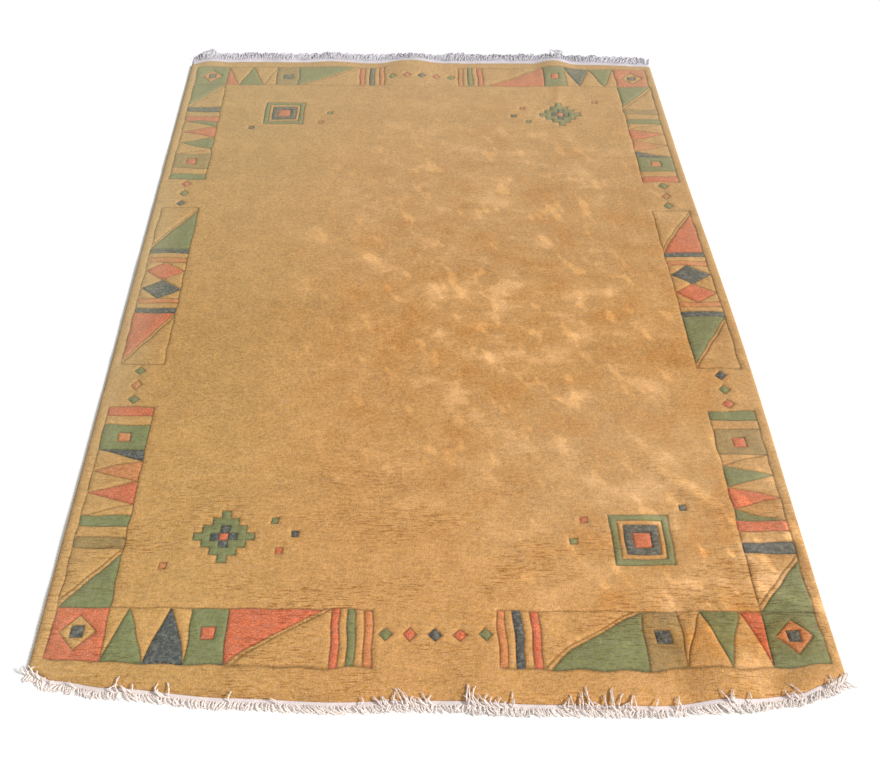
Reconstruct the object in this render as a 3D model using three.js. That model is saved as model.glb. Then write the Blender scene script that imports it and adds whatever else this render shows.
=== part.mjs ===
// A hand-knotted wool rug lying on a floor: one thick rug with a carved pile, and at each end
// a flat-woven cotton strip that carries the fringe. Millimetres, X across the rug, Y along it
// towards its far end, and Z up from the floor.
import * as THREE from 'three';
import { mergeVertices } from 'three/addons/utils/BufferGeometryUtils.js';

// The rug as it comes off the loom, before it is laid down
const WIDTH = 1700;
const LENGTH = 2418;
const THICKNESS = 12; // foundation and pile together
const EDGE_THICKNESS = 5; // the pile rounds down to this at the rug's edge
const EDGE_ROUND = 12; // how far in from the edge the pile has its full height
const HALF_WIDTH = WIDTH / 2;
const HALF_LENGTH = LENGTH / 2;

// The carved border: a band around the rug, broken by plain gaps in the middle of each end and
// twice along each side
const MARGIN = 28; // plain pile outside the band
const BAND = 116; // the band's width
const END_GAP = 134; // a gap at each end reaches this far to both sides of the middle
const SIDE_GAP = { from: 339, to: 489 }; // from the rug's middle
const CARVED_WIDTH = 6; // a carved line across its top
const CARVED_DEPTH = 3;

// The woven ends and their fringe
const SEAM_GAP = 0.4; // between the rug's edge and a woven end
const WEB_THICKNESS = 3;
const STRAND_TIP_THICKNESS = 1.6;
const STRANDS = 140; // at each end
const STRAND_WIDTH = 5;
const STRAND_TIP_WIDTH = 2.4;
const NEAR_END = { web: 6, fringe: 20, lean: 2.5 };
const FAR_END = { web: 28, fringe: 50, lean: 4 };
// Strands lean and reach unevenly: how quickly each changes from one strand to the next
const LEAN_BEAT = 1.7;
const LEAN_DRIFT = 0.31;
const REACH_BEAT = 2.3;
const REACH_UNEVEN = 0.14; // share of the fringe by which a strand's reach varies to both sides

// The grid that lets the blank take the ripples
const ACROSS_STEP = 72;
const ALONG_STEP_NEAR_ENDS = 60;
const LIVELY_FROM = 840; // how far from the middle the ripples begin
const TAPER = 0.005; // share by which the far end is wider than WIDTH and the near end narrower

// Each end bows out past the straight line between its corners. across runs from -1 at the
// left side to 1 at the right side.
const NEAR_BOW = [
  { across: -1.0, out: 0 },
  { across: -0.93, out: 22 },
  { across: -0.8, out: 36 },
  { across: -0.5, out: 56 },
  { across: -0.25, out: 63 },
  { across: -0.05, out: 57 },
  { across: 0.2, out: 64 },
  { across: 0.52, out: 65 },
  { across: 0.72, out: 54 },
  { across: 0.87, out: 39 },
  { across: 0.95, out: 19 },
  { across: 1.0, out: 0 },
];
const FAR_BOW = [
  { across: -1.0, out: 0 },
  { across: -0.94, out: 13 },
  { across: -0.72, out: 24 },
  { across: -0.4, out: 20 },
  { across: -0.1, out: 18 },
  { across: 0.15, out: 20 },
  { across: 0.45, out: 24 },
  { across: 0.72, out: 16 },
  { across: 0.94, out: 6 },
  { across: 1.0, out: 0 },
];
const BOW_REACH = 110; // how far in from an end the bow is felt
const BOW_POWER = 4;
const SIDE_BOW = { y: -250, halfLength: 950, out: 11 }; // the right side's, widest at y

// The rug doesn't lie dead flat: ripples run in from its ends. side is -1 at the near end.
const RIPPLES = [
  { x: -35, side: 1, halfWidth: 130, inward: 300, outward: 110, height: 15 },
  { x: 497, side: 1, halfWidth: 84, inward: 240, outward: 110, height: 16 },
  { x: -330, side: 1, halfWidth: 130, inward: 140, outward: 100, height: 6 },
  { x: -775, side: 1, halfWidth: 75, inward: 60, outward: 120, height: 8 },
  { x: 95, side: -1, halfWidth: 110, inward: 170, outward: 34, height: 8 },
  { x: 590, side: -1, halfWidth: 105, inward: 330, outward: 34, height: 16 },
  { x: 780, side: -1, halfWidth: 88, inward: 260, outward: 34, height: 11 },
];

// The carved lines of one quarter of the rug, the same in the other three. One coordinate
// stays at the line's place, and the other runs along it.
const OUTER = { x: HALF_WIDTH - MARGIN, y: HALF_LENGTH - MARGIN };
const INNER = { x: OUTER.x - BAND, y: OUTER.y - BAND };
const CARVED_LINES = [
  { stays: 'y', at: OUTER.y, from: END_GAP, to: OUTER.x },
  { stays: 'y', at: INNER.y, from: END_GAP, to: OUTER.x },
  { stays: 'y', at: SIDE_GAP.to, from: INNER.x, to: OUTER.x },
  { stays: 'y', at: SIDE_GAP.from, from: INNER.x, to: OUTER.x },
  { stays: 'x', at: OUTER.x, from: 0, to: SIDE_GAP.from },
  { stays: 'x', at: OUTER.x, from: SIDE_GAP.to, to: OUTER.y },
  { stays: 'x', at: INNER.x, from: 0, to: SIDE_GAP.from },
  { stays: 'x', at: INNER.x, from: SIDE_GAP.to, to: OUTER.y },
  { stays: 'x', at: END_GAP, from: INNER.y, to: OUTER.y },
];

const smooth = (t) => t * t * (3 - 2 * t);
const bell = (t) => (Math.abs(t) < 1 ? (1 + Math.cos(Math.PI * t)) / 2 : 0);

// How far an end bows out at this place across the rug
function bowAt(rows, across) {
  const place = THREE.MathUtils.clamp(across, -1, 1);
  const next = Math.max(1, rows.findIndex((row) => row.across >= place));
  const a = rows[next - 1];
  const b = rows[next];
  const share = (place - a.across) / (b.across - a.across);
  return THREE.MathUtils.lerp(a.out, b.out, smooth(share));
}

// Where a point of the flat blank lies on the floor once the rug is laid
function laid(x, y) {
  const rows = y < 0 ? NEAR_BOW : FAR_BOW;
  const felt = THREE.MathUtils.clamp((Math.abs(y) - HALF_LENGTH + BOW_REACH) / BOW_REACH, 0, 1);
  const out = bowAt(rows, x / HALF_WIDTH) * felt ** BOW_POWER;
  const toRight = Math.max(0, x / HALF_WIDTH) ** 2;
  const aside = SIDE_BOW.out * toRight * bell((y - SIDE_BOW.y) / SIDE_BOW.halfLength);
  return [x * (1 + (TAPER * y) / HALF_LENGTH) + aside, y + Math.sign(y) * out];
}

// How high the ripples lift the laid rug at a place on the floor
function rippleAt(x, y) {
  let height = 0;
  for (const ripple of RIPPLES) {
    const rows = ripple.side < 0 ? NEAR_BOW : FAR_BOW;
    const inside = HALF_LENGTH + bowAt(rows, x / HALF_WIDTH) - ripple.side * y;
    const reach = inside >= 0 ? ripple.inward : ripple.outward;
    height += ripple.height * bell((x - ripple.x) / ripple.halfWidth) * bell(inside / reach);
  }
  return height;
}

function lift(geometry) {
  const position = geometry.getAttribute('position');
  for (let i = 0; i < position.count; i++) {
    const rise = rippleAt(position.getX(i), position.getY(i));
    position.setZ(i, position.getZ(i) + rise);
  }
  return geometry;
}

// The needed places in order, with even ones between any two further apart than stepAt allows
function filled(needed, stepAt) {
  const sorted = [...new Set(needed)].sort((a, b) => a - b);
  const between = sorted.slice(1).flatMap((next, i) => {
    const span = next - sorted[i];
    const count = Math.ceil(span / stepAt((next + sorted[i]) / 2));
    return Array.from({ length: count }, (_, k) => sorted[i] + (span * k) / count);
  });
  return [...between, sorted.at(-1)];
}

// The blank's grid lines in one direction: close together at its edges and carved lines
function gridLines(axis, half, stepAt, more = []) {
  const carved = CARVED_LINES.filter((line) => line.stays === axis).flatMap(({ at }) =>
    [-0.5, 0, 0.5].map((share) => at + share * CARVED_WIDTH),
  );
  const edge = [0, EDGE_ROUND / 3, EDGE_ROUND].map((inside) => half - inside);
  const oneSide = [...carved, ...edge, ...more];
  return filled([...oneSide, ...oneSide.map((place) => -place)], stepAt);
}

const acrossLines = gridLines('x', HALF_WIDTH, () => ACROSS_STEP);
const alongLines = gridLines(
  'y',
  HALF_LENGTH,
  (y) => (Math.abs(y) > LIVELY_FROM ? ALONG_STEP_NEAR_ENDS : HALF_LENGTH),
  [LIVELY_FROM],
);

// How deep the pile is carved at a point of the flat blank
function carvedAt(x, y) {
  const place = { x: Math.abs(x), y: Math.abs(y) };
  const away = CARVED_LINES.map(({ stays, at, from, to }) => {
    const along = stays === 'x' ? place.y : place.x;
    return Math.max(Math.abs(place[stays] - at), from - along, along - to);
  });
  return CARVED_DEPTH * Math.max(0, 1 - Math.min(...away) / (CARVED_WIDTH / 2));
}

// The rug: its pile rounds down at the edges, and both faces follow the ripples.
function rug() {
  const box = new THREE.BoxGeometry(1, 1, 1, acrossLines.length - 1, alongLines.length - 1, 1);
  box.deleteAttribute('normal');
  box.deleteAttribute('uv');
  const geometry = mergeVertices(box);
  const position = geometry.getAttribute('position');
  for (let i = 0; i < position.count; i++) {
    const x = acrossLines[Math.round((position.getX(i) + 0.5) * (acrossLines.length - 1))];
    const y = alongLines[Math.round((position.getY(i) + 0.5) * (alongLines.length - 1))];
    const inside = Math.min(HALF_WIDTH - Math.abs(x), HALF_LENGTH - Math.abs(y), EDGE_ROUND);
    const rise = Math.sqrt(1 - (1 - inside / EDGE_ROUND) ** 2);
    const top = THREE.MathUtils.lerp(EDGE_THICKNESS, THICKNESS, rise) - carvedAt(x, y);
    position.setXYZ(i, ...laid(x, y), position.getZ(i) > 0 ? top : 0);
  }
  return lift(geometry);
}

// One woven end and its fringe: a flat comb, thinner towards the strands' tips. Its inner
// side has the rug's own grid places, so that the seam stays even where the edge bows.
function wovenEnd({ web, fringe, lean }, side) {
  const root = HALF_LENGTH + SEAM_GAP + web;
  const tip = root + fringe;
  const pitch = (WIDTH - STRAND_WIDTH) / (STRANDS - 1);
  const points = [];
  for (let i = 0; i < STRANDS; i++) {
    const x = -HALF_WIDTH + STRAND_WIDTH / 2 + i * pitch;
    const drift = lean * Math.sin(i * LEAN_BEAT) * Math.cos(i * LEAN_DRIFT);
    const reach = fringe * (1 - REACH_UNEVEN * (1 - Math.cos(i * REACH_BEAT)));
    points.push(
      [x - STRAND_WIDTH / 2, root],
      [x - STRAND_TIP_WIDTH / 2 + drift, root + reach],
      [x + STRAND_TIP_WIDTH / 2 + drift, root + reach],
      [x + STRAND_WIDTH / 2, root],
    );
  }
  for (const x of acrossLines.toReversed()) points.push([x, HALF_LENGTH + SEAM_GAP]);
  const shape = new THREE.Shape(points.map(([x, y]) => new THREE.Vector2(...laid(x, side * y))));
  const comb = new THREE.ExtrudeGeometry(shape, { depth: WEB_THICKNESS, bevelEnabled: false });
  const position = comb.getAttribute('position');
  const isTip = (x, y) =>
    Math.abs(y) > (root + tip) / 2 + bowAt(side < 0 ? NEAR_BOW : FAR_BOW, x / HALF_WIDTH);
  for (let i = 0; i < position.count; i++)
    if (position.getZ(i) > 0 && isTip(position.getX(i), position.getY(i)))
      position.setZ(i, STRAND_TIP_THICKNESS);
  return lift(comb);
}

const WOOL = { color: 0xc39a5c, roughness: 0.95, metalness: 0 };
const COTTON = { color: 0xe3dcd6, roughness: 0.9, metalness: 0 };
const wool = new THREE.MeshStandardMaterial(WOOL);
const cotton = new THREE.MeshStandardMaterial(COTTON);

const model = new THREE.Group();

function add(name, geometry, material) {
  const mesh = new THREE.Mesh(geometry, material);
  mesh.name = name;
  model.add(mesh);
}

add('rug', rug(), wool);
add('near_woven_end', wovenEnd(NEAR_END, -1), cotton);
add('far_woven_end', wovenEnd(FAR_END, 1), cotton);

// The origin is on the floor, under the middle of the whole rug with its fringes.
const bounds = new THREE.Box3().setFromObject(model);
const centre = bounds.getCenter(new THREE.Vector3());
for (const mesh of model.children) mesh.geometry.translate(-centre.x, -centre.y, 0);

export default model;
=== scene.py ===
# A hand-knotted wool rug on a pale floor. The pile is one mesh, knotted in six colours and carved
# along every outline; at each end are a flat-woven cotton heading and its fringe of warp ends.
# The rug is worked out in millimetres on its flat blank, as it comes off the loom, then laid down
# with its bowed ends and right side and its ripples, and made in metres.
import math

import bpy
import numpy as np
from mathutils import Matrix, Vector, geometry, kdtree


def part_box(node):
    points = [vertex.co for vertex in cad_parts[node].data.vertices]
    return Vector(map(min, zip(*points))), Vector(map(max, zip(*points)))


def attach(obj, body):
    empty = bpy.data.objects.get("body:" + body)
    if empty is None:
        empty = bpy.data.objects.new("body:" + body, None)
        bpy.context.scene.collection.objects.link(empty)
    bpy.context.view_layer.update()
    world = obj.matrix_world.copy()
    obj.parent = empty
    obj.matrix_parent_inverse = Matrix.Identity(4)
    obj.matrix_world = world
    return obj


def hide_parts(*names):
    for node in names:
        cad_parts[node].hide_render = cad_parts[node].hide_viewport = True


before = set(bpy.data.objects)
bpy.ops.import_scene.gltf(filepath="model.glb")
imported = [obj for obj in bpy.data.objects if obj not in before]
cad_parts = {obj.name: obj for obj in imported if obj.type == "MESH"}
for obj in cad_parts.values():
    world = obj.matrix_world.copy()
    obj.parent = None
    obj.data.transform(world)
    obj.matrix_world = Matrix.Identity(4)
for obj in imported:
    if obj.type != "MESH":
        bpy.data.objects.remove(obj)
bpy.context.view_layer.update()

MM = 0.001

# The blank
WIDTH = 1700.0
LENGTH = 2418.0
HALF_WIDTH = WIDTH / 2
HALF_LENGTH = LENGTH / 2
THICKNESS = 12.0
EDGE_THICKNESS = 5.0
EDGE_ROUND = 12.0
TAPER = 0.005

# The border's band and what is left plain
MARGIN = 28.0
BAND = 116.0
OUTER_X = HALF_WIDTH - MARGIN
OUTER_Y = HALF_LENGTH - MARGIN

# The carving
CARVED_DEPTH = 3.0
CARVED_SPREAD = 1.9

# How far each end bows out past the line between its corners: place across from -1 to 1, and mm
NEAR_BOW = [
    (-1.0, 0), (-0.93, 22), (-0.8, 36), (-0.5, 56), (-0.25, 63), (-0.05, 57),
    (0.2, 64), (0.52, 65), (0.72, 54), (0.87, 39), (0.95, 19), (1.0, 0),
]
FAR_BOW = [
    (-1.0, 0), (-0.94, 13), (-0.72, 24), (-0.4, 20), (-0.1, 18),
    (0.15, 20), (0.45, 24), (0.72, 16), (0.94, 6), (1.0, 0),
]
BOW_REACH = 110.0
BOW_POWER = 4
# The right side bows out too, most at this place along the rug
SIDE_BOW_MIDDLE = -250.0
SIDE_BOW_HALF = 950.0
SIDE_BOW = 11.0

# The ripples: place across, end (-1 near, 1 far), half width, reach inward, reach outward, height
RIPPLES = [
    (-35, 1, 130, 300, 110, 15),
    (497, 1, 84, 240, 110, 16),
    (-330, 1, 130, 140, 100, 6),
    (-775, 1, 75, 60, 120, 8),
    (95, -1, 110, 170, 34, 8),
    (590, -1, 105, 330, 34, 16),
    (780, -1, 88, 260, 34, 11),
]

# The woven headings and the fringe
SEAM_GAP = 0.4
HEADING_THICKNESS = 3.0
HEADING_STEP = 7.0
HEADING_INSET = 1.0
HEADING_ROWS = np.array([0, 0.12, 0.35, 0.65, 0.9, 1.0])
HEADING_LIP = 0.6
EDGE_WAVE = 60
HEADING_LUMP = 0.5
HEADING_LUMP_WAVE = 40
# The same undyed cotton at both ends: the near end's colours are lighter and pinker as painted light,
# the far end's darker, greyer and more lavender as painted shade
NEAR_END = {
    "side": -1, "web": 10.0, "uneven": 2.0, "reach": 17.0, "lean": 14.0, "lift": 6.0,
    "strands": 430, "ply": 1.25, "seed": 21, "woven": (234, 222, 222), "yarn": (250, 238, 231),
}
FAR_END = {
    "side": 1, "web": 28.0, "uneven": 2.0, "reach": 47.0, "lean": 16.0, "lift": 7.0,
    "strands": 430, "ply": 1.5, "seed": 22, "woven": (213, 206, 211), "yarn": (212, 209, 217),
}
# Where more strands of the near end lie back over the pile: from and to across the blank, and
# how far they slant
CURLED_BACK = [
    (-846, -795, -18), (-740, -733, -12), (-655, -620, -22), (-560, -535, -18), (-420, -415, 3),
    (-330, -322, -12), (-170, -164, 14), (-120, 10, -16), (60, 170, -18), (265, 410, -11),
    (430, 440, 12), (480, 496, 12), (590, 640, -18), (725, 755, -18), (795, 846, 12),
]
CURLED_STEP = 5.0
CURLED_PLY = 1.05
# Where strands of the far end stand up: middle and half width across the blank, and height
STOOD_UP = [(-795, 45, 19), (505, 26, 19), (-330, 60, 8), (120, 90, 7)]

# The frame's origin is under the middle of the rug with its fringes, not of the blank
rug_low, rug_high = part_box("rug")
BLANK_X = rug_low.x / MM + HALF_WIDTH * (1 + TAPER)
FURTHER_BOW = max(bow for _, bow in FAR_BOW) - max(bow for _, bow in NEAR_BOW)
BLANK_Y = (rug_low.y + rug_high.y) / 2 / MM - FURTHER_BOW / 2

# sRGB colours of the wool
WOOLS = {
    "sand": (193, 145, 90),
    "coral": (203, 109, 76),
    "peach": (199, 129, 83),
    "sage": (125, 125, 82),
    "slate": (78, 79, 79),
    "tan": (158, 126, 79),
}

CREASE_HEIGHT = 6.0
# Creases pressed into the rug: ends on the floor, half width and height
CREASES = [
    ((470, -600), (770, -880), 34, 6.0),
    ((800, -800), (900, -1040), 30, 6.5),
    ((690, -1000), (850, -1060), 30, 5.5),
    ((610, -985), (645, -1110), 26, 4.5),
    ((725, -1075), (860, -1150), 26, 5.0),
    ((515, 1160), (455, 760), 30, 4.5),
    ((150, 60), (330, -60), 26, 3.0),
    ((180, -560), (300, -690), 24, 3.0),
    ((330, 420), (430, 300), 24, 3.0),
]


def linear(colour):
    """A linear RGBA colour from an sRGB one of 0 to 255."""
    parts = [c / 255 for c in colour]
    return tuple(c / 12.92 if c <= 0.04045 else ((c + 0.055) / 1.055) ** 2.4 for c in parts) + (1.0,)


def smooth(t):
    return t * t * (3 - 2 * t)


def bell(t):
    return np.where(np.abs(t) < 1, (1 + np.cos(np.pi * np.clip(t, -1, 1))) / 2, 0)


def bow_at(rows, across):
    """How far an end bows out, with a smooth step between the rows."""
    places = np.array([row[0] for row in rows])
    outs = np.array([row[1] for row in rows], float)
    across = np.clip(across, -1, 1)
    after = np.clip(np.searchsorted(places, across), 1, len(rows) - 1)
    share = (across - places[after - 1]) / (places[after] - places[after - 1])
    return outs[after - 1] + (outs[after] - outs[after - 1]) * smooth(np.clip(share, 0, 1))


def laid(points):
    """Where points of the blank lie on the floor, in the frame's millimetres."""
    x, y = points[:, 0], points[:, 1]
    felt = np.clip((np.abs(y) - HALF_LENGTH + BOW_REACH) / BOW_REACH, 0, 1) ** BOW_POWER
    bow = np.where(y < 0, bow_at(NEAR_BOW, x / HALF_WIDTH), bow_at(FAR_BOW, x / HALF_WIDTH))
    along = bell((y - SIDE_BOW_MIDDLE) / SIDE_BOW_HALF)
    aside = SIDE_BOW * np.clip(x / HALF_WIDTH, 0, None) ** 2 * along
    across = x * (1 + TAPER * y / HALF_LENGTH) + aside
    return np.column_stack([across + BLANK_X, y + np.sign(y) * bow * felt + BLANK_Y])


def ripple_at(places):
    """How high the ripples lift the rug at places on the floor."""
    x, y = places[:, 0] - BLANK_X, places[:, 1] - BLANK_Y
    height = np.zeros(len(places))
    for middle, side, half_width, inward, outward, rise in RIPPLES:
        inside = HALF_LENGTH + bow_at(NEAR_BOW if side < 0 else FAR_BOW, x / HALF_WIDTH) - side * y
        reach = np.where(inside >= 0, inward, outward)
        height += rise * bell((x - middle) / half_width) * bell(inside / reach)
    return height


def crease_at(places):
    """How high the creases lift the pile, fading towards their ends."""
    height = np.zeros(len(places))
    for start, end, half_width, rise in CREASES:
        run = np.array(end, float) - start
        length = np.linalg.norm(run)
        from_start = places - start - (BLANK_X, BLANK_Y)
        along = from_start @ run / length**2
        beside = (from_start[:, 0] * run[1] - from_start[:, 1] * run[0]) / length
        height += rise * bell(beside / half_width) * bell(2 * along - 1)
    return height


def wander(places, wavelength, seed, waves=7):
    """A smooth random height between about -1 and 1 at each place."""
    rng = np.random.default_rng(seed)
    total = np.zeros(len(places))
    for _ in range(waves):
        turn = rng.uniform(0, 2 * math.pi)
        length = wavelength * rng.uniform(0.7, 1.5)
        along = places[:, 0] * math.cos(turn) + places[:, 1] * math.sin(turn)
        total += np.sin(2 * math.pi * along / length + rng.uniform(0, 2 * math.pi))
    return total / math.sqrt(waves)


# The border's blocks along the right side from near to far, and along the far end from left to
# right: kind, length, and colours. The left side and the near end are these turned half round.
LONG_SIDE = [
    ("slant", 150, ("sage", "sand")),
    ("bars", 90, ("slate", "sand", "coral")),
    ("teeth", 196, ("sage", "sand", "coral", "sand", "sage", "sand")),
    ("inset", 80, ("tan", "coral")),
    ("bars", 60, ("sand", "sage")),
    ("gap", 150, ("coral", "sage", "slate")),
    ("slant", 200, ("sand", "sage")),
    ("bars", 60, ("slate", "sand", "peach")),
    ("diamonds", 158, ("sand", "coral", "slate")),
    ("bars", 60, ("peach", "sand", "slate")),
    ("slant", 200, ("coral", "sand")),
    ("gap", 150, ("sage", "peach", "sage")),
    ("bars", 60, ("coral", "sand")),
    ("inset", 80, ("sage", "peach")),
    ("teeth", 196, ("slate", "sand", "peach", "sand", "coral", "sand")),
    ("bars", 90, ("sage", "sand", "tan")),
    ("slant", 150, ("sand", "sage")),
]
SHORT_SIDE = [
    ("teeth", 180, ("coral", "sand", "sage", "sand")),
    ("inset", 80, ("tan", "slate")),
    ("slant", 222, ("sage", "sand")),
    ("bars", 90, ("coral", "sand", "slate", "sand", "peach")),
    ("gap", 268, ("sage", "coral", "slate", "coral", "sage")),
    ("bars", 90, ("peach", "sand", "sage", "sand", "coral")),
    ("slant", 222, ("sand", "coral")),
    ("inset", 80, ("sage", "coral")),
    ("teeth", 180, ("sand", "slate", "sand", "sage")),
]
SLANT_STRIPE = 16.0
GAP_DIAMOND = 15.0
INSET_SQUARE = 15.0
MOTIF_X, MOTIF_Y = 480.0, 880.0
MOTIF_STEP = 20.0
NESTED_SQUARES = ((68, "sage"), (52, "sand"), (40, "slate"), (20, "coral"))
SCATTERED_SQUARE = 8.0
SCATTERED = [
    (352, 918, "coral"), (318, 872, "slate"), (366, 836, "sage"), (610, 960, "peach"),
    (-352, 826, "coral"), (-322, 884, "sage"), (-590, 790, "slate"),
]


def square(x, y, half):
    return [(x - half, y - half), (x + half, y - half), (x + half, y + half), (x - half, y + half)]


def diamond(x, y, reach_x, reach_y):
    return [(x - reach_x, y), (x, y - reach_y), (x + reach_x, y), (x, y + reach_y)]


def stepped(x, y, steps):
    """A diamond with stepped sides."""
    quarter = []
    for i in range(steps):
        v = (i + 0.5) * MOTIF_STEP
        quarter += [((steps - i - 0.5) * MOTIF_STEP, v), ((steps - i - 1.5) * MOTIF_STEP, v)]
    quarter = quarter[:-1]
    corners = []
    for turn in range(4):
        c, s = round(math.cos(turn * math.pi / 2)), round(math.sin(turn * math.pi / 2))
        corners += [(x + u * c - v * s, y + u * s + v * c) for u, v in quarter]
    return corners


def block_shapes(kind, length, colours):
    """One block's shapes, on axes from 0 to its length and from 0, outside, to the band's width."""
    count = len(colours)
    each = length / max(count, 1)
    if kind == "slant":
        low = [(0, 0), (length - SLANT_STRIPE, 0), (0, BAND)]
        high = [(length, BAND), (SLANT_STRIPE, BAND), (length, 0)]
        return [(low, colours[0]), (high, colours[1])]
    if kind == "bars":
        return [
            ([(i * each, 0), ((i + 1) * each, 0), ((i + 1) * each, BAND), (i * each, BAND)], colour)
            for i, colour in enumerate(colours)
        ]
    if kind == "teeth":
        base = 2 * length / count
        shapes = []
        for i, colour in enumerate(colours):
            left, right = (i - 1) * base / 2, (i + 1) * base / 2
            v, tip = (0, BAND) if i % 2 else (BAND, 0)
            corners = [(max(left, 0), v), (min(right, length), v), (i * base / 2, tip)]
            shapes.append((corners, colour))
        return shapes
    if kind == "diamonds":
        ground = [(0, 0), (length, 0), (length, BAND), (0, BAND)]
        half = length / (count - 1) / 2
        inner = [
            (diamond((2 * i + 1) * half, BAND / 2, half, BAND / 2), colour)
            for i, colour in enumerate(colours[1:])
        ]
        return [(ground, colours[0]), *inner]
    if kind == "inset":
        ground = [(0, 0), (length, 0), (length, BAND), (0, BAND)]
        return [(ground, colours[0]), (square(length / 2, BAND / 2, INSET_SQUARE), colours[1])]
    return [
        (diamond((i + 0.5) * each, BAND / 2, GAP_DIAMOND, GAP_DIAMOND), colour)
        for i, colour in enumerate(colours)
    ]


def side_shapes(blocks):
    """One side's shapes: the runs of blocks between its gaps, and the blocks over them."""
    start = -sum(block[1] for block in blocks) / 2
    runs, shapes, run_start = [], [], start
    for kind, length, colours in [*blocks, ("gap", 0, ())]:
        if kind == "gap":
            corners = [(run_start, 0), (start, 0), (start, BAND), (run_start, BAND)]
            runs.append((corners, "sand"))
            run_start = start + length
        for corners, colour in block_shapes(kind, length, colours):
            shapes.append(([(start + u, v) for u, v in corners], colour))
        start += length
    return runs + shapes


def design():
    """Every coloured shape of the pile, the later ones on top: corners on the blank, and colour."""
    half = []
    for corners, colour in side_shapes(LONG_SIDE):
        half.append(([(OUTER_X - v, u) for u, v in corners], colour))
    for corners, colour in side_shapes(SHORT_SIDE):
        half.append(([(u, OUTER_Y - v) for u, v in corners], colour))
    for side in (1, -1):
        x, y = side * (OUTER_X - BAND / 2), OUTER_Y - BAND / 2
        half.append((square(x, y, BAND / 2), "coral" if side > 0 else "sage"))
        half.append((diamond(x, y, BAND / 3, BAND / 3), "sand" if side > 0 else "peach"))
        half.append((square(x, y, BAND / 9), "slate"))
    half.append((stepped(MOTIF_X, MOTIF_Y, 4), "sage"))
    half.append((stepped(MOTIF_X, MOTIF_Y, 2), "slate"))
    half.append((square(MOTIF_X, MOTIF_Y, MOTIF_STEP / 2), "coral"))
    for reach, colour in NESTED_SQUARES:
        half.append((square(-MOTIF_X, MOTIF_Y, reach), colour))
    half += [(square(x, y, SCATTERED_SQUARE), colour) for x, y, colour in SCATTERED]
    return half + [([(-x, -y) for x, y in corners], colour) for corners, colour in half]


# How finely the pile is cut: outlines, field and back, and the points that mark the lines
OUTLINE_STEP = 9.0
FIELD_STEP = 11.0
BACK_STEP = 34.0
LINE_STEP = 0.8
# Rows of points beside each line, and around each corner just outside them
GROOVE_ROWS = (1.6, 4.0)
SPOKE_REACH = 1.02
SPOKES = [np.array((math.cos(turn), math.sin(turn))) for turn in np.arange(10) * math.pi / 5]
# A row's point goes where another line is nearer than this share of the row
ROW_CLEARANCE = 0.93
LINE_CLEARANCE = 7.0
EDGE_CLEARANCE = 0.6
BACK_CLEARANCE = 0.5
MERGE_DISTANCE = 1.4
# Unevenness of the pile's top: height, wavelength and seed
LUMPS = ((0.7, 190, 3), (0.4, 75, 4), (0.2, 30, 7))
DRIFT = 1.5
DRIFT_WAVE = 95
DRIFT_FADE = 20
DRIFT_SEEDS = (5, 6)
RIM_WIDTH = 0.5
# The flat map: where the back's and the walls' parts of it start, and how large they are
BACK_MAP_SCALE = 0.42
BACK_MAP_START = 0.705
WALL_MAP_START = 0.44
WALL_MAP_HEIGHT = 0.01
EDGE_ROWS = (2.5, 6.5, 12.5)


def cut(start, end, step):
    """Evenly spaced points from start up to end, without end."""
    start, end = np.array(start, float), np.array(end, float)
    count = max(1, math.ceil(np.linalg.norm(end - start) / step))
    return start + np.outer(np.arange(count) / count, end - start)


def ring(corners, step):
    return np.vstack([cut(a, b, step) for a, b in zip(corners, [*corners[1:], corners[0]])])


def tree_of(points):
    tree = kdtree.KDTree(len(points))
    for i, (x, y) in enumerate(points):
        tree.insert((x, y, 0), i)
    tree.balance()
    return tree


def away(points, tree):
    return np.array([tree.find((x, y, 0))[2] for x, y in points])


def nearest(points, others):
    """Which of the others each point lies on."""
    tree = tree_of(others)
    return np.array([tree.find((x, y, 0))[1] for x, y in points])


def inside_by(points):
    """How far inside the blank's edge each point is."""
    return np.minimum(HALF_WIDTH - np.abs(points[:, 0]), HALF_LENGTH - np.abs(points[:, 1]))


def hexagonal(step):
    """Points of an even triangular grid over the blank."""
    rows = np.arange(-HALF_LENGTH, HALF_LENGTH, step * math.sqrt(3) / 2)
    across = np.arange(-HALF_WIDTH, HALF_WIDTH, step)
    return np.array([(x + (i % 2) * step / 2, y) for i, y in enumerate(rows) for x in across])


def colours_of(centres, shapes):
    """The name of the wool at each centre."""
    names = np.full(len(centres), "sand", dtype=object)
    x, y = centres[:, 0], centres[:, 1]
    for corners, colour in shapes:
        ring_x, ring_y = np.array(corners).T
        near = np.flatnonzero(
            (x > ring_x.min()) & (x < ring_x.max()) & (y > ring_y.min()) & (y < ring_y.max())
        )
        crossings = np.zeros(len(near), int)
        for i in range(len(corners)):
            (ax, ay), (bx, by) = corners[i - 1], corners[i]
            if ay == by:
                continue
            spans = (ay > y[near]) != (by > y[near])
            crossings += spans & (x[near] < ax + (y[near] - ay) * (bx - ax) / (by - ay))
        names[near[crossings % 2 == 1]] = colour
    return names


def triangles(points, edges):
    """A triangulation of points that keeps the edges: its points and its triangles."""
    coords = [Vector(p) for p in points.tolist()]
    found = geometry.delaunay_2d_cdt(coords, edges, [], 0, 1e-3, False)
    corners = np.array([(v.x, v.y) for v in found[0]])
    faces = np.array(found[2])
    a, b, c = corners[faces[:, 0]], corners[faces[:, 1]], corners[faces[:, 2]]
    area = (b[:, 0] - a[:, 0]) * (c[:, 1] - a[:, 1]) - (b[:, 1] - a[:, 1]) * (c[:, 0] - a[:, 0])
    faces[area < 0] = faces[area < 0][:, ::-1]
    return corners, faces[np.abs(area) > 1e-6]


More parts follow.
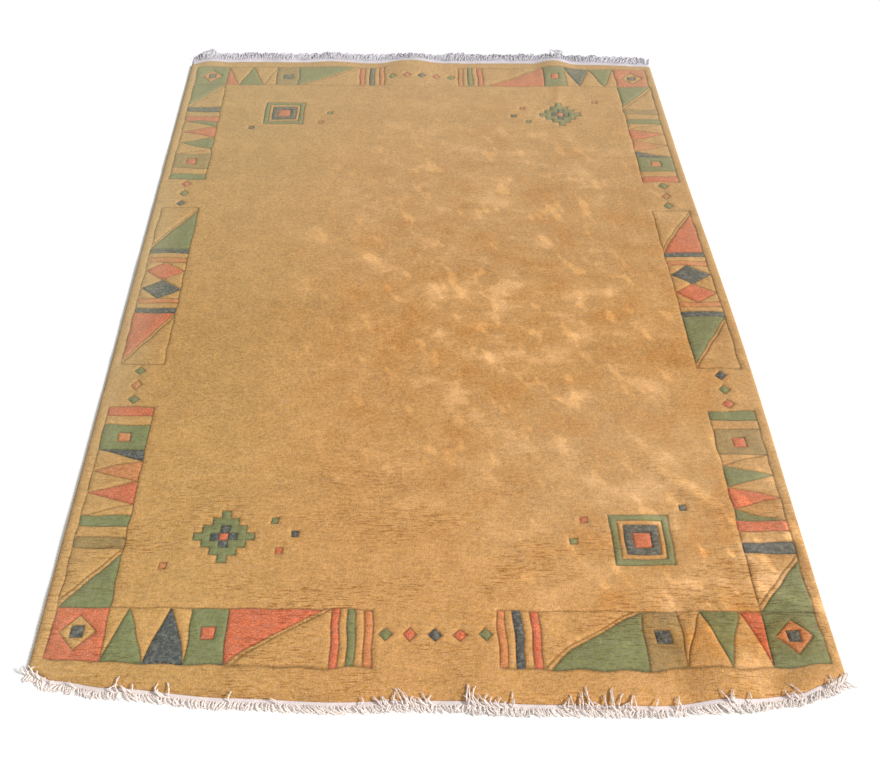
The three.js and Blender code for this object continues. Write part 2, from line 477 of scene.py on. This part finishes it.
def new_mesh(name, points, faces, material):
    """A smooth mesh object from points in millimetres."""
    mesh = bpy.data.meshes.new(name)
    mesh.from_pydata((np.asarray(points) * MM).tolist(), [], [list(f) for f in faces])
    mesh.polygons.foreach_set("use_smooth", [True] * len(mesh.polygons))
    mesh.materials.append(material)
    made = bpy.data.objects.new(name, mesh)
    bpy.context.scene.collection.objects.link(made)
    return made


def drifted(points):
    """Points moved a little, since hand-knotted outlines are never quite straight."""
    held = np.clip(inside_by(points) / DRIFT_FADE, 0, 1)
    moved = np.column_stack([wander(points, DRIFT_WAVE, seed) for seed in DRIFT_SEEDS])
    return points + moved * DRIFT * held[:, None]


def pile(material):
    """The whole rug without its woven ends: carved pile above, flat back below."""
    shapes = design()
    blank_corners = [
        (-HALF_WIDTH, -HALF_LENGTH), (HALF_WIDTH, -HALF_LENGTH),
        (HALF_WIDTH, HALF_LENGTH), (-HALF_WIDTH, HALF_LENGTH),
    ]
    rim = ring(blank_corners, OUTLINE_STEP)
    points, edges = [rim], [(i, (i + 1) % len(rim)) for i in range(len(rim))]
    count = len(rim)
    beside = []
    for corners, _ in shapes:
        outline = ring(corners, OUTLINE_STEP)
        edges += [(count + i, count + (i + 1) % len(outline)) for i in range(len(outline))]
        points.append(outline)
        count += len(outline)
        along = np.roll(outline, -1, axis=0) - outline
        along /= np.linalg.norm(along, axis=1)[:, None]
        middle = (np.roll(outline, -1, axis=0) + outline) / 2
        out = np.column_stack([-along[:, 1], along[:, 0]])
        for row in GROOVE_ROWS:
            around = [np.array(c) + row * SPOKE_REACH * spoke for c in corners for spoke in SPOKES]
            beside += [(outline + out * row, row), (outline - out * row, row)]
            beside.append((np.array(around), row))
    lines = tree_of(np.vstack([ring(corners, LINE_STEP) for corners, _ in shapes]))
    back_points, back_edges = np.vstack(points), list(edges)
    for spots, row in beside:
        points.append(spots[away(spots, lines) > row * ROW_CLEARANCE])
    for row in EDGE_ROWS:
        x, y = HALF_WIDTH - row, HALF_LENGTH - row
        points.append(ring([(-x, -y), (x, -y), (x, y), (-x, y)], OUTLINE_STEP))
    field = hexagonal(FIELD_STEP)
    field = field[inside_by(field) > EDGE_ROWS[-1] + FIELD_STEP * EDGE_CLEARANCE]
    points.append(field[away(field, lines) > LINE_CLEARANCE])
    keep = len(back_points)
    free = np.vstack(points)[keep:]
    _, first = np.unique(np.round(free / MERGE_DISTANCE), axis=0, return_index=True)
    top, top_faces = triangles(np.vstack([back_points, free[np.sort(first)]]), edges)
    back_field = hexagonal(BACK_STEP)
    back_field = back_field[inside_by(back_field) > BACK_STEP * EDGE_CLEARANCE]
    back_field = back_field[away(back_field, lines) > BACK_STEP * BACK_CLEARANCE]
    back, back_faces = triangles(np.vstack([back_points, back_field]), back_edges)

    # The heights of the two faces above the floor
    inside = inside_by(top)
    rise = np.sqrt(1 - (1 - np.clip(inside / EDGE_ROUND, 0, 1)) ** 2)
    carved = CARVED_DEPTH * np.exp(-((away(top, lines) / CARVED_SPREAD) ** 2))
    lumps = sum(size * wander(top, wave, seed) for size, wave, seed in LUMPS)
    full = THICKNESS - EDGE_THICKNESS + lumps
    top_z = EDGE_THICKNESS + full * rise - carved * (inside > RIM_WIDTH)
    top_laid, back_laid = laid(drifted(top)), laid(drifted(back))
    creased = crease_at(top_laid) * rise
    top_z += creased
    top_all = np.column_stack([top_laid, top_z + ripple_at(top_laid)])
    back_all = np.column_stack([back_laid, ripple_at(back_laid)])

    # The rim joins the two faces.
    top_rim, back_rim = nearest(rim, top), nearest(rim, back) + len(top)
    walls = np.column_stack([np.roll(top_rim, -1), top_rim, back_rim, np.roll(back_rim, -1)]).tolist()
    faces = [*top_faces.tolist(), *(back_faces[:, ::-1] + len(top)).tolist(), *walls]
    made = new_mesh("pile", np.vstack([top_all, back_all]), faces, material)

    # The wool's colour of each face, and a flat map of the two faces side by side
    names = np.concatenate([
        colours_of(top[top_faces].mean(1), shapes),
        colours_of(back[back_faces].mean(1), shapes),
        np.full(len(walls), "sand", dtype=object),
    ])
    mesh = made.data
    sizes = np.array([len(f) for f in faces])
    table = {name: linear(colour) for name, colour in WOOLS.items()}
    colours = np.repeat(np.array([table[n] for n in names]), sizes, axis=0)
    wool = mesh.color_attributes.new("wool", "FLOAT_COLOR", "CORNER")
    wool.data.foreach_set("color", colours.ravel())
    none = np.zeros(len(back_all))
    for name, amount in (("carved", carved / CARVED_DEPTH), ("creased", creased / CREASE_HEIGHT)):
        share = mesh.attributes.new(name, "FLOAT", "POINT")
        share.data.foreach_set("value", np.concatenate([amount, none]))

    # The top fills most of the flat map, and the back a smaller part beside it.
    flat = mesh.uv_layers.new(name="OFBake")
    tall = LENGTH + MARGIN
    top_map = (top + (tall / 2 * WIDTH / LENGTH, tall / 2)) / tall
    back_map = (back + (HALF_WIDTH, HALF_LENGTH)) / LENGTH * BACK_MAP_SCALE + (BACK_MAP_START, 0)
    corner_of = np.concatenate([np.array(f) for f in faces])
    place = np.vstack([top_map, back_map])[corner_of]
    first_wall = 3 * (len(top_faces) + len(back_faces))
    share = np.repeat(np.arange(len(walls)) / len(walls), 4)
    share = share + np.tile([1, 0, 0, 1], len(walls)) / len(walls)
    place[first_wall:, 0] = BACK_MAP_START + share * BACK_MAP_SCALE * WIDTH / LENGTH
    place[first_wall:, 1] = WALL_MAP_START + np.tile([1, 1, 0, 0], len(walls)) * WALL_MAP_HEIGHT
    flat.data.foreach_set("uv", place.ravel())
    return made


def heading(name, end, material):
    """The flat-woven cotton strip past the last knots, a closed strip with a wavy outer edge."""
    count = round(WIDTH / HEADING_STEP)
    x = np.linspace(-HALF_WIDTH + HEADING_INSET, HALF_WIDTH - HEADING_INSET, count)
    edge = end["web"] + end["uneven"] * wander(np.column_stack([x, x * 0]), EDGE_WAVE, end["seed"])
    profile = [(row, HEADING_THICKNESS * (1 if row < 1 else HEADING_LIP)) for row in HEADING_ROWS]
    profile += [(row, 0.0) for row in HEADING_ROWS[::-1]]
    points = []
    for share, height in profile:
        flat = np.column_stack([x, end["side"] * (HALF_LENGTH + SEAM_GAP + edge * share)])
        places = laid(flat)
        lift = height + ripple_at(places)
        if height:
            lift += HEADING_LUMP * wander(flat, HEADING_LUMP_WAVE, end["seed"] + 1) * (0 < share)
        points.append(np.column_stack([places, lift]))
    ring_size = len(profile)
    faces = []
    for row in range(ring_size):
        after = (row + 1) % ring_size
        for i in range(count - 1):
            a, b = row * count + i, after * count + i
            faces.append((a, a + 1, b + 1, b))
    faces.append([row * count for row in range(ring_size)])
    faces.append([row * count + count - 1 for row in range(ring_size)][::-1])
    if end["side"] < 0:
        faces = [f[::-1] for f in faces]
    return new_mesh(name, np.vstack(points), faces, material)


def axes_of(path):
    """Two directions square to a path at each of its points, the first of them level."""
    run = np.gradient(path, axis=0)
    run /= np.linalg.norm(run, axis=1)[:, None]
    across = np.cross(run, (0.0, 0.0, 1.0))
    across /= np.maximum(np.linalg.norm(across, axis=1), 1e-6)[:, None]
    return across, np.cross(across, run)


def tube(path, radii, sides):
    """The points and faces of a closed tube along a path."""
    across, other = axes_of(path)
    points = []
    for k in range(sides):
        turn = 2 * math.pi * k / sides
        points.append(path + radii[:, None] * (across * math.cos(turn) + other * math.sin(turn)))
    points = np.stack(points, axis=1).reshape(-1, 3)
    faces = []
    for i in range(len(path) - 1):
        for k in range(sides):
            a, b = i * sides + k, i * sides + (k + 1) % sides
            faces.append((a, a + sides, b + sides, b))
    faces.append(tuple(range(sides)))
    faces.append(tuple(range(len(points) - sides, len(points)))[::-1])
    return points, faces


STRAND_STOPS = np.linspace(0, 1, 10)
# The least and most that a strand's reach is multiplied by, and how far its root is sunk
REACH_SHARES = (0.72, 1.08)
ROOT_DEPTH = 2.5
# A strand's random bend and sideways end, as shares of its length, and its own lean
BEND = 0.16
SIDEWAYS_END = 0.15
OWN_LEAN = 0.25
# Where the shared lean comes from: its steady part, then share and wavelength of two waves
STEADY_LEAN = 0.5
BROAD_LEAN, BROAD_LEAN_WAVE = 0.7, 260
FINE_LEAN, FINE_LEAN_WAVE = 0.4, 40
# Two plies turn about each other and part towards the tip
PLY_SIDES = 5
PLY_OFFSET = 0.85
PLY_TURNS = (3, 5)
PARTING = 2.2
PARTING_FROM = 0.6
TIP_THINNING = 0.45
START_JITTER = 2
CURLED_CHANCE = 0.8
CURLED_JITTER = 1.5
WISPS = 170
WISP_RADIUS = 0.4
WISP_SIDES = 4
WISP_LEAN = 1.3


def strand_path(x, end, rng, lean):
    """The middle line of one strand, from inside the heading's edge to its tip."""
    t = STRAND_STOPS
    length = end["reach"] * rng.uniform(*REACH_SHARES)
    bend = rng.normal(0, BEND) * length
    aside = lean * t**1.4 + bend * np.sin(math.pi * t) + rng.normal(0, SIDEWAYS_END) * length * t**3
    out = end["web"] - ROOT_DEPTH + length * np.sin(t * math.pi / 2 * rng.uniform(0.8, 1.0))
    height = HEADING_THICKNESS * 0.55 * (1 - t) + 1.6 * t
    height += end["lift"] * rng.uniform(0.1, 1.0) * np.sin(math.pi * t) ** 1.2
    if end["side"] > 0:
        for middle, half_width, rise in STOOD_UP:
            height += rise * bell(np.array((x - middle) / half_width)) * np.sin(math.pi * t * 0.75)
    return on_floor(x + aside, end, out, height)


def curled_path(x, end, rng, slant):
    """The middle line of a strand that lies back over the heading and the edge of the pile."""
    t = STRAND_STOPS
    loop = rng.uniform(1, 4)
    back = end["web"] + rng.triangular(-8, 0, 12)
    out = end["web"] - 1 + loop * np.sin(math.pi * t) - back * smooth(t)
    height = 2.2 + rng.uniform(11.0, 13.5) * smooth(np.clip(t * 1.6, 0, 1))
    aside = slant * rng.uniform(-0.5, 1.7) * t**0.7 + rng.normal(0, 6.0) * np.sin(math.pi * t)
    return on_floor(x + aside, end, out, height)


def on_floor(x, end, out, height):
    """A path of the blank, past its end, laid on the floor."""
    places = laid(np.column_stack([x, end["side"] * (HALF_LENGTH + SEAM_GAP + out)]))
    return np.column_stack([places, height + ripple_at(places)])


def fringe(name, end, material):
    """The warp ends, each of two plies twisted together that part at the tip, and loose wisps."""
    rng = np.random.default_rng(end["seed"])
    starts = np.linspace(-HALF_WIDTH + 4, HALF_WIDTH - 4, end["strands"])
    starts += rng.uniform(-START_JITTER, START_JITTER, len(starts))
    line = np.column_stack([starts, starts * 0])
    broad = BROAD_LEAN * wander(line, BROAD_LEAN_WAVE, end["seed"] + 2)
    fine = FINE_LEAN * wander(line, FINE_LEAN_WAVE, end["seed"] + 3)
    leans = end["lean"] * (STEADY_LEAN + broad + fine)
    points, faces, count = [], [], 0
    t = STRAND_STOPS

    def add(path, radii, sides):
        nonlocal count
        made, joined = tube(path, radii, sides)
        points.append(made)
        faces.extend([[i + count for i in face] for face in joined])
        count += len(made)

    def add_strand(middle, ply):
        across, other = axes_of(middle)
        turn = rng.uniform(0, math.pi) + t * math.pi * rng.uniform(*PLY_TURNS)
        shift = across * np.cos(turn)[:, None] + other * np.sin(turn)[:, None]
        past = np.clip((t - PARTING_FROM) / (1 - PARTING_FROM), 0, 1)
        parted = PARTING * rng.uniform(0, 1) * past**1.5
        radii = ply * (1 - TIP_THINNING * np.clip((t - 0.5) / 0.5, 0, 1) ** 1.5)
        for side in (1, -1):
            path = middle + side * shift * (PLY_OFFSET * ply * (1 + parted))[:, None]
            path[:, 2] = np.maximum(path[:, 2], radii)
            add(path, radii, PLY_SIDES)

    for x, lean in zip(starts, leans):
        own = rng.normal(0, end["lean"] * OWN_LEAN)
        add_strand(strand_path(x, end, rng, lean + own), end["ply"])
    if end["side"] < 0:
        for low, high, slant in CURLED_BACK:
            shift = rng.uniform(-CURLED_JITTER, CURLED_JITTER)
            for x in np.arange(low, high, CURLED_STEP) + shift:
                if rng.random() < CURLED_CHANCE:
                    add_strand(curled_path(x, end, rng, slant), CURLED_PLY)
    for x in rng.uniform(-HALF_WIDTH + 3, HALF_WIDTH - 3, WISPS):
        path = strand_path(x, end, rng, rng.normal(0, end["lean"] * WISP_LEAN))
        add(path, WISP_RADIUS * (1 - 0.5 * t), WISP_SIDES)
    return new_mesh(name, np.vstack(points), faces, material)


def new_tree(name):
    material = bpy.data.materials.new(name)
    material.use_nodes = True
    tree = material.node_tree
    tree.nodes.clear()
    return material, tree


def node(tree, kind, settings=None, **sockets):
    """A shader node with its settings, and its sockets set or linked by name."""
    made = tree.nodes.new("ShaderNode" + kind)
    for name, value in (settings or {}).items():
        setattr(made, name, value)
    for name, value in sockets.items():
        socket = made.inputs[name.replace("_", " ")]
        if isinstance(value, bpy.types.NodeSocket):
            tree.links.new(value, socket)
        else:
            socket.default_value = value
    return made


def math_node(tree, operation, *values):
    made = tree.nodes.new("ShaderNodeMath")
    made.operation = operation
    for socket, value in zip(made.inputs, values):
        if isinstance(value, bpy.types.NodeSocket):
            tree.links.new(value, socket)
        else:
            socket.default_value = value
    return made.outputs[0]


def stretched(tree, place, scale):
    return node(tree, "Mapping", Vector=place, Scale=scale).outputs[0]


def noise(tree, place, scale, detail=2.0, roughness=0.5):
    made = node(tree, "TexNoise", Vector=place, Scale=scale, Detail=detail, Roughness=roughness)
    return made.outputs["Fac"]


def spread(tree, value, low, high, to_low=0.0, to_high=1.0):
    """The value from low to high, brought to another range and held within it."""
    limits = {"From_Min": low, "From_Max": high, "To_Min": to_low, "To_Max": to_high}
    return node(tree, "MapRange", Value=value, **limits).outputs[0]


def mixed(tree, share, first, second, blend="MIX"):
    return node(tree, "MixRGB", {"blend_type": blend}, Fac=share, Color1=first, Color2=second).outputs[0]


def finish_surface(tree, shader):
    output = node(tree, "OutputMaterial")
    tree.links.new(shader.outputs[0], output.inputs["Surface"])


def region(tree, place, middle, radii):
    """1 well inside an ellipse on the rug, and 0 outside it."""
    moved = node(tree, "Mapping", {"vector_type": "TEXTURE"}, Vector=place,
                 Location=(*middle, 0), Scale=(*radii, 1000)).outputs[0]
    length = node(tree, "VectorMath", {"operation": "LENGTH"}, Vector=moved).outputs["Value"]
    return node(tree, "MapRange", {"interpolation_type": "SMOOTHSTEP"}, Value=length,
                From_Min=1.0, From_Max=0.25, To_Min=0.0, To_Max=1.0).outputs[0]


# Ellipses on the rug, in metres: middle and radii. They place the painted sheen on the brushed pile, the
# patch of painted highlight, the left margin that painted sheen makes paler, and the corner with most
# partings, whose darkness is painted shade.
SHEEN_MIDDLE = ((0.28, 0.0), (0.9, 1.4))
SHEEN_RIGHT = ((0.55, -0.85), (0.6, 0.6))
SHEEN_CORNER = ((0.72, -0.98), (0.34, 0.34))
SHEEN_PATCH = ((0.50, -0.70), (0.62, 0.42))
LEFT_MARGIN = ((-0.85, -0.10), (0.14, 0.80))
PARTING_CORNER = ((0.70, -1.02), (0.24, 0.24))
# Linear colours that the wool is multiplied by or mixed with. The first two darken it with painted
# shade, between the sheen highlights and in the partings, and the last makes it paler and greyer as
# painted sheen
SHEEN_SHADE_TINT = (1.0, 0.88, 0.72, 1)
PARTING_SHADE_TINT = (0.84, 0.66, 0.50, 1)
LEFT_TINT = (0.92, 1.0, 1.0, 1)
PALE_HAIR = (0.27, 0.25, 0.20, 1)
SHEEN_GREY_WOOL = (0.50, 0.46, 0.31, 1)


def wool_material():
    material, tree = new_tree("wool")
    place = node(tree, "TexCoord").outputs["Object"]
    base_colour = node(tree, "Attribute", {"attribute_name": "wool"}).outputs["Color"]
    depth = node(tree, "Attribute", {"attribute_name": "carved"}).outputs["Fac"]
    creased = node(tree, "Attribute", {"attribute_name": "creased"}).outputs["Fac"]
    parts = node(tree, "SeparateXYZ", Vector=place)
    across, along = parts.outputs["X"], parts.outputs["Y"]

    # Painted sheen: pale highlight patches and streaks where the brushed pile lies over, most in the
    # middle and to the right
    broad = noise(tree, place, 2.2, 2.0)
    sheen_blotches = noise(tree, stretched(tree, place, (6.5, 8.5, 6.5)), 1.0, 3.0, 0.60)
    turned = node(tree, "Mapping", Vector=place, Rotation=(0, 0, -0.42)).outputs[0]
    streaks = noise(tree, stretched(tree, turned, (21, 11, 11)), 1.0, 2.0, 0.55)
    sheen_region = math_node(tree, "MAXIMUM", region(tree, place, *SHEEN_MIDDLE),
                       region(tree, place, *SHEEN_RIGHT))
    sheen_region = math_node(tree, "ADD", sheen_region, region(tree, place, *SHEEN_CORNER))
    sheen_patch = region(tree, place, *SHEEN_PATCH)
    left_margin = region(tree, place, *LEFT_MARGIN)
    pale = math_node(tree, "MULTIPLY", spread(tree, sheen_blotches, 0.54, 0.68), sheen_region)
    sheen_streaks = math_node(tree, "MULTIPLY", spread(tree, streaks, 0.58, 0.68), sheen_region)
    # Painted highlight along the ridges of the creases
    crease_highlight = math_node(tree, "MULTIPLY", spread(tree, creased, 0.35, 1.0),
                      spread(tree, sheen_blotches, 0.35, 0.6, 0.4, 1.3))
    sheen_streaks = math_node(tree, "MAXIMUM", sheen_streaks, crease_highlight)
    # Painted shade, darker and warmer, between the painted sheen highlights
    sheen_shade = math_node(tree, "MULTIPLY", spread(tree, sheen_blotches, 0.50, 0.34), sheen_region)

    # The wool itself: fine grain, tufts, rows of knots, and short partings between rows, whose darkness
    # is painted shade
    grain = noise(tree, place, 330.0, 2.0, 0.6)
    tufts = noise(tree, stretched(tree, place, (95, 130, 95)), 1.0, 3.0, 0.65)
    flecks = noise(tree, stretched(tree, place, (120, 150, 120)), 1.0, 3.0, 0.7)
    tousled = noise(tree, stretched(tree, place, (28, 34, 28)), 1.0, 3.0, 0.6)
    rows = noise(tree, stretched(tree, place, (38, 290, 38)), 1.0, 2.0, 0.6)
    slivers = noise(tree, stretched(tree, place, (42, 390, 42)), 1.0, 1.0)
    clusters = noise(tree, stretched(tree, place, (4.0, 8.0, 4.0)), 1.0, 2.0)
    near_end = spread(tree, along, -0.45, -0.90)
    parting_region = math_node(tree, "MULTIPLY", near_end, spread(tree, clusters, 0.44, 0.60))
    parting_region = math_node(tree, "MAXIMUM", parting_region, spread(tree, clusters, 0.60, 0.78, 0.0, 0.3))
    parting_region = math_node(tree, "MAXIMUM", parting_region, region(tree, place, *PARTING_CORNER))
    partings = math_node(tree, "MULTIPLY", spread(tree, slivers, 0.58, 0.68), parting_region)

    bands = noise(tree, stretched(tree, place, (0.7, 10, 1)), 1.0, 3.0, 0.6)
    value = math_node(tree, "ADD", spread(tree, broad, 0.3, 0.7, 0.97, 1.04),
                      spread(tree, bands, 0.3, 0.7, -0.045, 0.045))
    for part in (
        # Painted sheen highlights lighten the brushed pile
        math_node(tree, "MULTIPLY", pale, 0.34),
        math_node(tree, "MULTIPLY", sheen_streaks, 0.36),
        math_node(tree, "MULTIPLY", sheen_shade, -0.05),
        # Painted highlight: a patch at the near right is lighter
        math_node(tree, "MULTIPLY", sheen_patch, 0.07),
        spread(tree, grain, 0.25, 0.75, -0.18, 0.18),
        spread(tree, tufts, 0.3, 0.7, -0.19, 0.19),
        spread(tree, tousled, 0.3, 0.7, -0.08, 0.08),
        # Painted light: the pile is lighter towards the near end
        spread(tree, along, -0.4, -1.1, 0.0, 0.14),
        math_node(tree, "MULTIPLY", spread(tree, rows, 0.25, 0.75, -1.0, 1.0),
                  spread(tree, near_end, 0.0, 1.0, 0.05, 0.12)),
        # Painted shade in the partings
        math_node(tree, "MULTIPLY", partings, -0.16),
    ):
        value = math_node(tree, "ADD", value, part)
    # Painted shade in the carved grooves: the deeper the carving, the darker the wool
    value = math_node(tree, "MULTIPLY", value, spread(tree, depth, 0.2, 1.0, 1.0, 0.5))
    saturation = math_node(tree, "ADD", math_node(tree, "MULTIPLY", pale, -0.06),
                           spread(tree, grain, 0.3, 0.7, 1.14, 0.86))
    colour = node(tree, "HueSaturation", Color=base_colour, Value=value, Saturation=saturation).outputs[0]
    # The painted shade between the sheen highlights is warmer
    colour = mixed(tree, sheen_shade, colour, mixed(tree, 1.0, colour, SHEEN_SHADE_TINT, "MULTIPLY"))
    # The painted shade in the partings is browner
    colour = mixed(tree, partings, colour, mixed(tree, 1.0, colour, PARTING_SHADE_TINT, "MULTIPLY"))

    # Pale hairs show in the darker wools
    darkness = spread(tree, node(tree, "RGBToBW", Color=base_colour).outputs[0], 0.32, 0.07)
    hairs = math_node(tree, "MULTIPLY", spread(tree, flecks, 0.45, 0.68, 0.0, 0.75), darkness)
    colour = mixed(tree, hairs, colour, PALE_HAIR)

    # The left side is less red, and the far end, the margins and the highlight patch are made paler and
    # greyer as painted sheen
    duller = mixed(tree, 1.0, colour, LEFT_TINT, "MULTIPLY")
    colour = mixed(tree, spread(tree, across, -0.20, -0.55), colour, duller)
    aside = math_node(tree, "ABSOLUTE", across)
    sheen_fade = math_node(tree, "ADD", spread(tree, along, -0.2, 1.25, 0.0, 0.34),
                      spread(tree, aside, 0.70, 0.85, 0.0, 0.12))
    for part, share in ((sheen_patch, 0.12), (left_margin, 0.16)):
        sheen_fade = math_node(tree, "ADD", sheen_fade, math_node(tree, "MULTIPLY", part, share))
    colour = mixed(tree, sheen_fade, colour, SHEEN_GREY_WOOL)

    height = math_node(tree, "ADD", grain, math_node(tree, "MULTIPLY", tufts, 1.6))
    height = math_node(tree, "ADD", height, math_node(tree, "MULTIPLY", rows, 0.7))
    height = math_node(tree, "SUBTRACT", height, partings)
    bump = node(tree, "Bump", Strength=0.7, Distance=0.0015, Height=height)
    shader = node(tree, "BsdfPrincipled", Base_Color=colour, Roughness=0.95, Normal=bump.outputs[0])
    shader.inputs["Specular IOR Level"].default_value = 0.12
    shader.inputs["Sheen Weight"].default_value = 0.14
    shader.inputs["Sheen Roughness"].default_value = 0.5
    shader.inputs["Sheen Tint"].default_value = linear((232, 208, 160))
    finish_surface(tree, shader)
    return material


def cotton_material(name, base_colour, ribs):
    """Undyed cotton, either flat-woven, with ribs across it, or as loose yarn."""
    material, tree = new_tree(name)
    place = node(tree, "TexCoord").outputs["Object"]
    broad = noise(tree, place, 14.0, 2.0)
    fine = noise(tree, place, 420.0, 2.0)
    value = math_node(tree, "ADD", spread(tree, broad, 0.3, 0.7, 0.9, 1.05),
                      spread(tree, fine, 0.25, 0.75, -0.12, 0.1))
    height = fine
    if ribs:
        across = noise(tree, stretched(tree, place, (420, 60, 60)), 1.0, 2.0)
        value = math_node(tree, "ADD", value, spread(tree, across, 0.3, 0.7, -0.09, 0.07))
        height = math_node(tree, "ADD", fine, math_node(tree, "MULTIPLY", across, 1.5))
    colour = node(tree, "HueSaturation", Color=linear(base_colour), Value=value).outputs[0]
    bump = node(tree, "Bump", Strength=0.6, Distance=0.0006, Height=height)
    shader = node(tree, "BsdfPrincipled", Base_Color=colour, Roughness=0.9, Normal=bump.outputs[0])
    shader.inputs["Specular IOR Level"].default_value = 0.2
    shader.inputs["Sheen Weight"].default_value = 0.15
    finish_surface(tree, shader)
    return material


FLOOR_HALF = 30000.0


def floor():
    """A plain pale floor, larger than any view of the rug."""
    material, tree = new_tree("floor")
    finish_surface(tree, node(tree, "BsdfPrincipled", Base_Color=(0.97, 0.97, 0.97, 1), Roughness=0.9))
    corners = [(x, y, 0) for x, y in square(0, 0, FLOOR_HALF)]
    made = new_mesh("floor", corners, [(0, 1, 2, 3)], material)


# The camera that a fit to the rug's corners in the photograph gives: metres, degrees and pixels
PHOTO_WIDTH = 880
CAMERA_PLACE = (-0.0914, -2.1449, 1.912)
CAMERA_DOWN = 47.368
CAMERA_YAW = -0.335
CAMERA_ROLL = 0.173
FOCAL_PIXELS = 985.06
CENTRE_PIXEL = 389.96
SENSOR = 36.0


def camera():
    down, yaw, roll = (math.radians(a) for a in (CAMERA_DOWN, CAMERA_YAW, CAMERA_ROLL))
    level = math.cos(down)
    forward = Vector((math.sin(yaw) * level, math.cos(yaw) * level, -math.sin(down)))
    right = Vector((math.cos(yaw), -math.sin(yaw), 0))
    up = right.cross(forward)
    turned_right = right * math.cos(roll) + up * math.sin(roll)
    turned_up = up * math.cos(roll) - right * math.sin(roll)
    data = bpy.data.cameras.new("camera")
    data.sensor_width = SENSOR
    data.lens = SENSOR * FOCAL_PIXELS / PHOTO_WIDTH
    data.shift_x = 0.5 - CENTRE_PIXEL / PHOTO_WIDTH
    made = bpy.data.objects.new("camera", data)
    axes = Matrix((turned_right, turned_up, -forward)).transposed().to_4x4()
    place = Vector(CAMERA_PLACE) + Vector((BLANK_X, BLANK_Y, 0)) * MM
    made.matrix_world = Matrix.Translation(place) @ axes
    bpy.context.scene.collection.objects.link(made)
    bpy.context.scene.camera = made


SKY_STRENGTH = 0.45
SUN_STRENGTH = 3.2
SUN_ANGLE = 14
SUN_TINT = (1.0, 0.98, 0.95)
SUN_WAY = (-8.4, 2.6, -7.4)


def lights():
    """A pale sky, and one large soft light from the front right."""
    world = bpy.data.worlds.new("studio")
    world.use_nodes = True
    background = world.node_tree.nodes["Background"]
    background.inputs["Color"].default_value = (1, 1, 1, 1)
    background.inputs["Strength"].default_value = SKY_STRENGTH
    bpy.context.scene.world = world
    data = bpy.data.lights.new("key", "SUN")
    data.energy = SUN_STRENGTH
    data.angle = math.radians(SUN_ANGLE)
    data.color = SUN_TINT
    made = bpy.data.objects.new("key", data)
    made.rotation_euler = Vector(SUN_WAY).to_track_quat("-Z", "Y").to_euler()
    bpy.context.scene.collection.objects.link(made)


camera()
lights()
floor()
rug_pile = pile(wool_material())
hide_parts("rug")
ends = []
for name, end in (("near", NEAR_END), ("far", FAR_END)):
    woven = cotton_material(f"{name}_woven_cotton", end["woven"], ribs=True)
    yarn = cotton_material(f"{name}_yarn", end["yarn"], ribs=False)
    for piece in (heading(f"{name}_heading", end, woven), fringe(f"{name}_fringe", end, yarn)):
        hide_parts(f"{name}_woven_end")
        ends.append(piece)
for piece in (rug_pile, *ends):
    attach(piece, "root")

bpy.context.scene.view_settings.view_transform = "Standard"
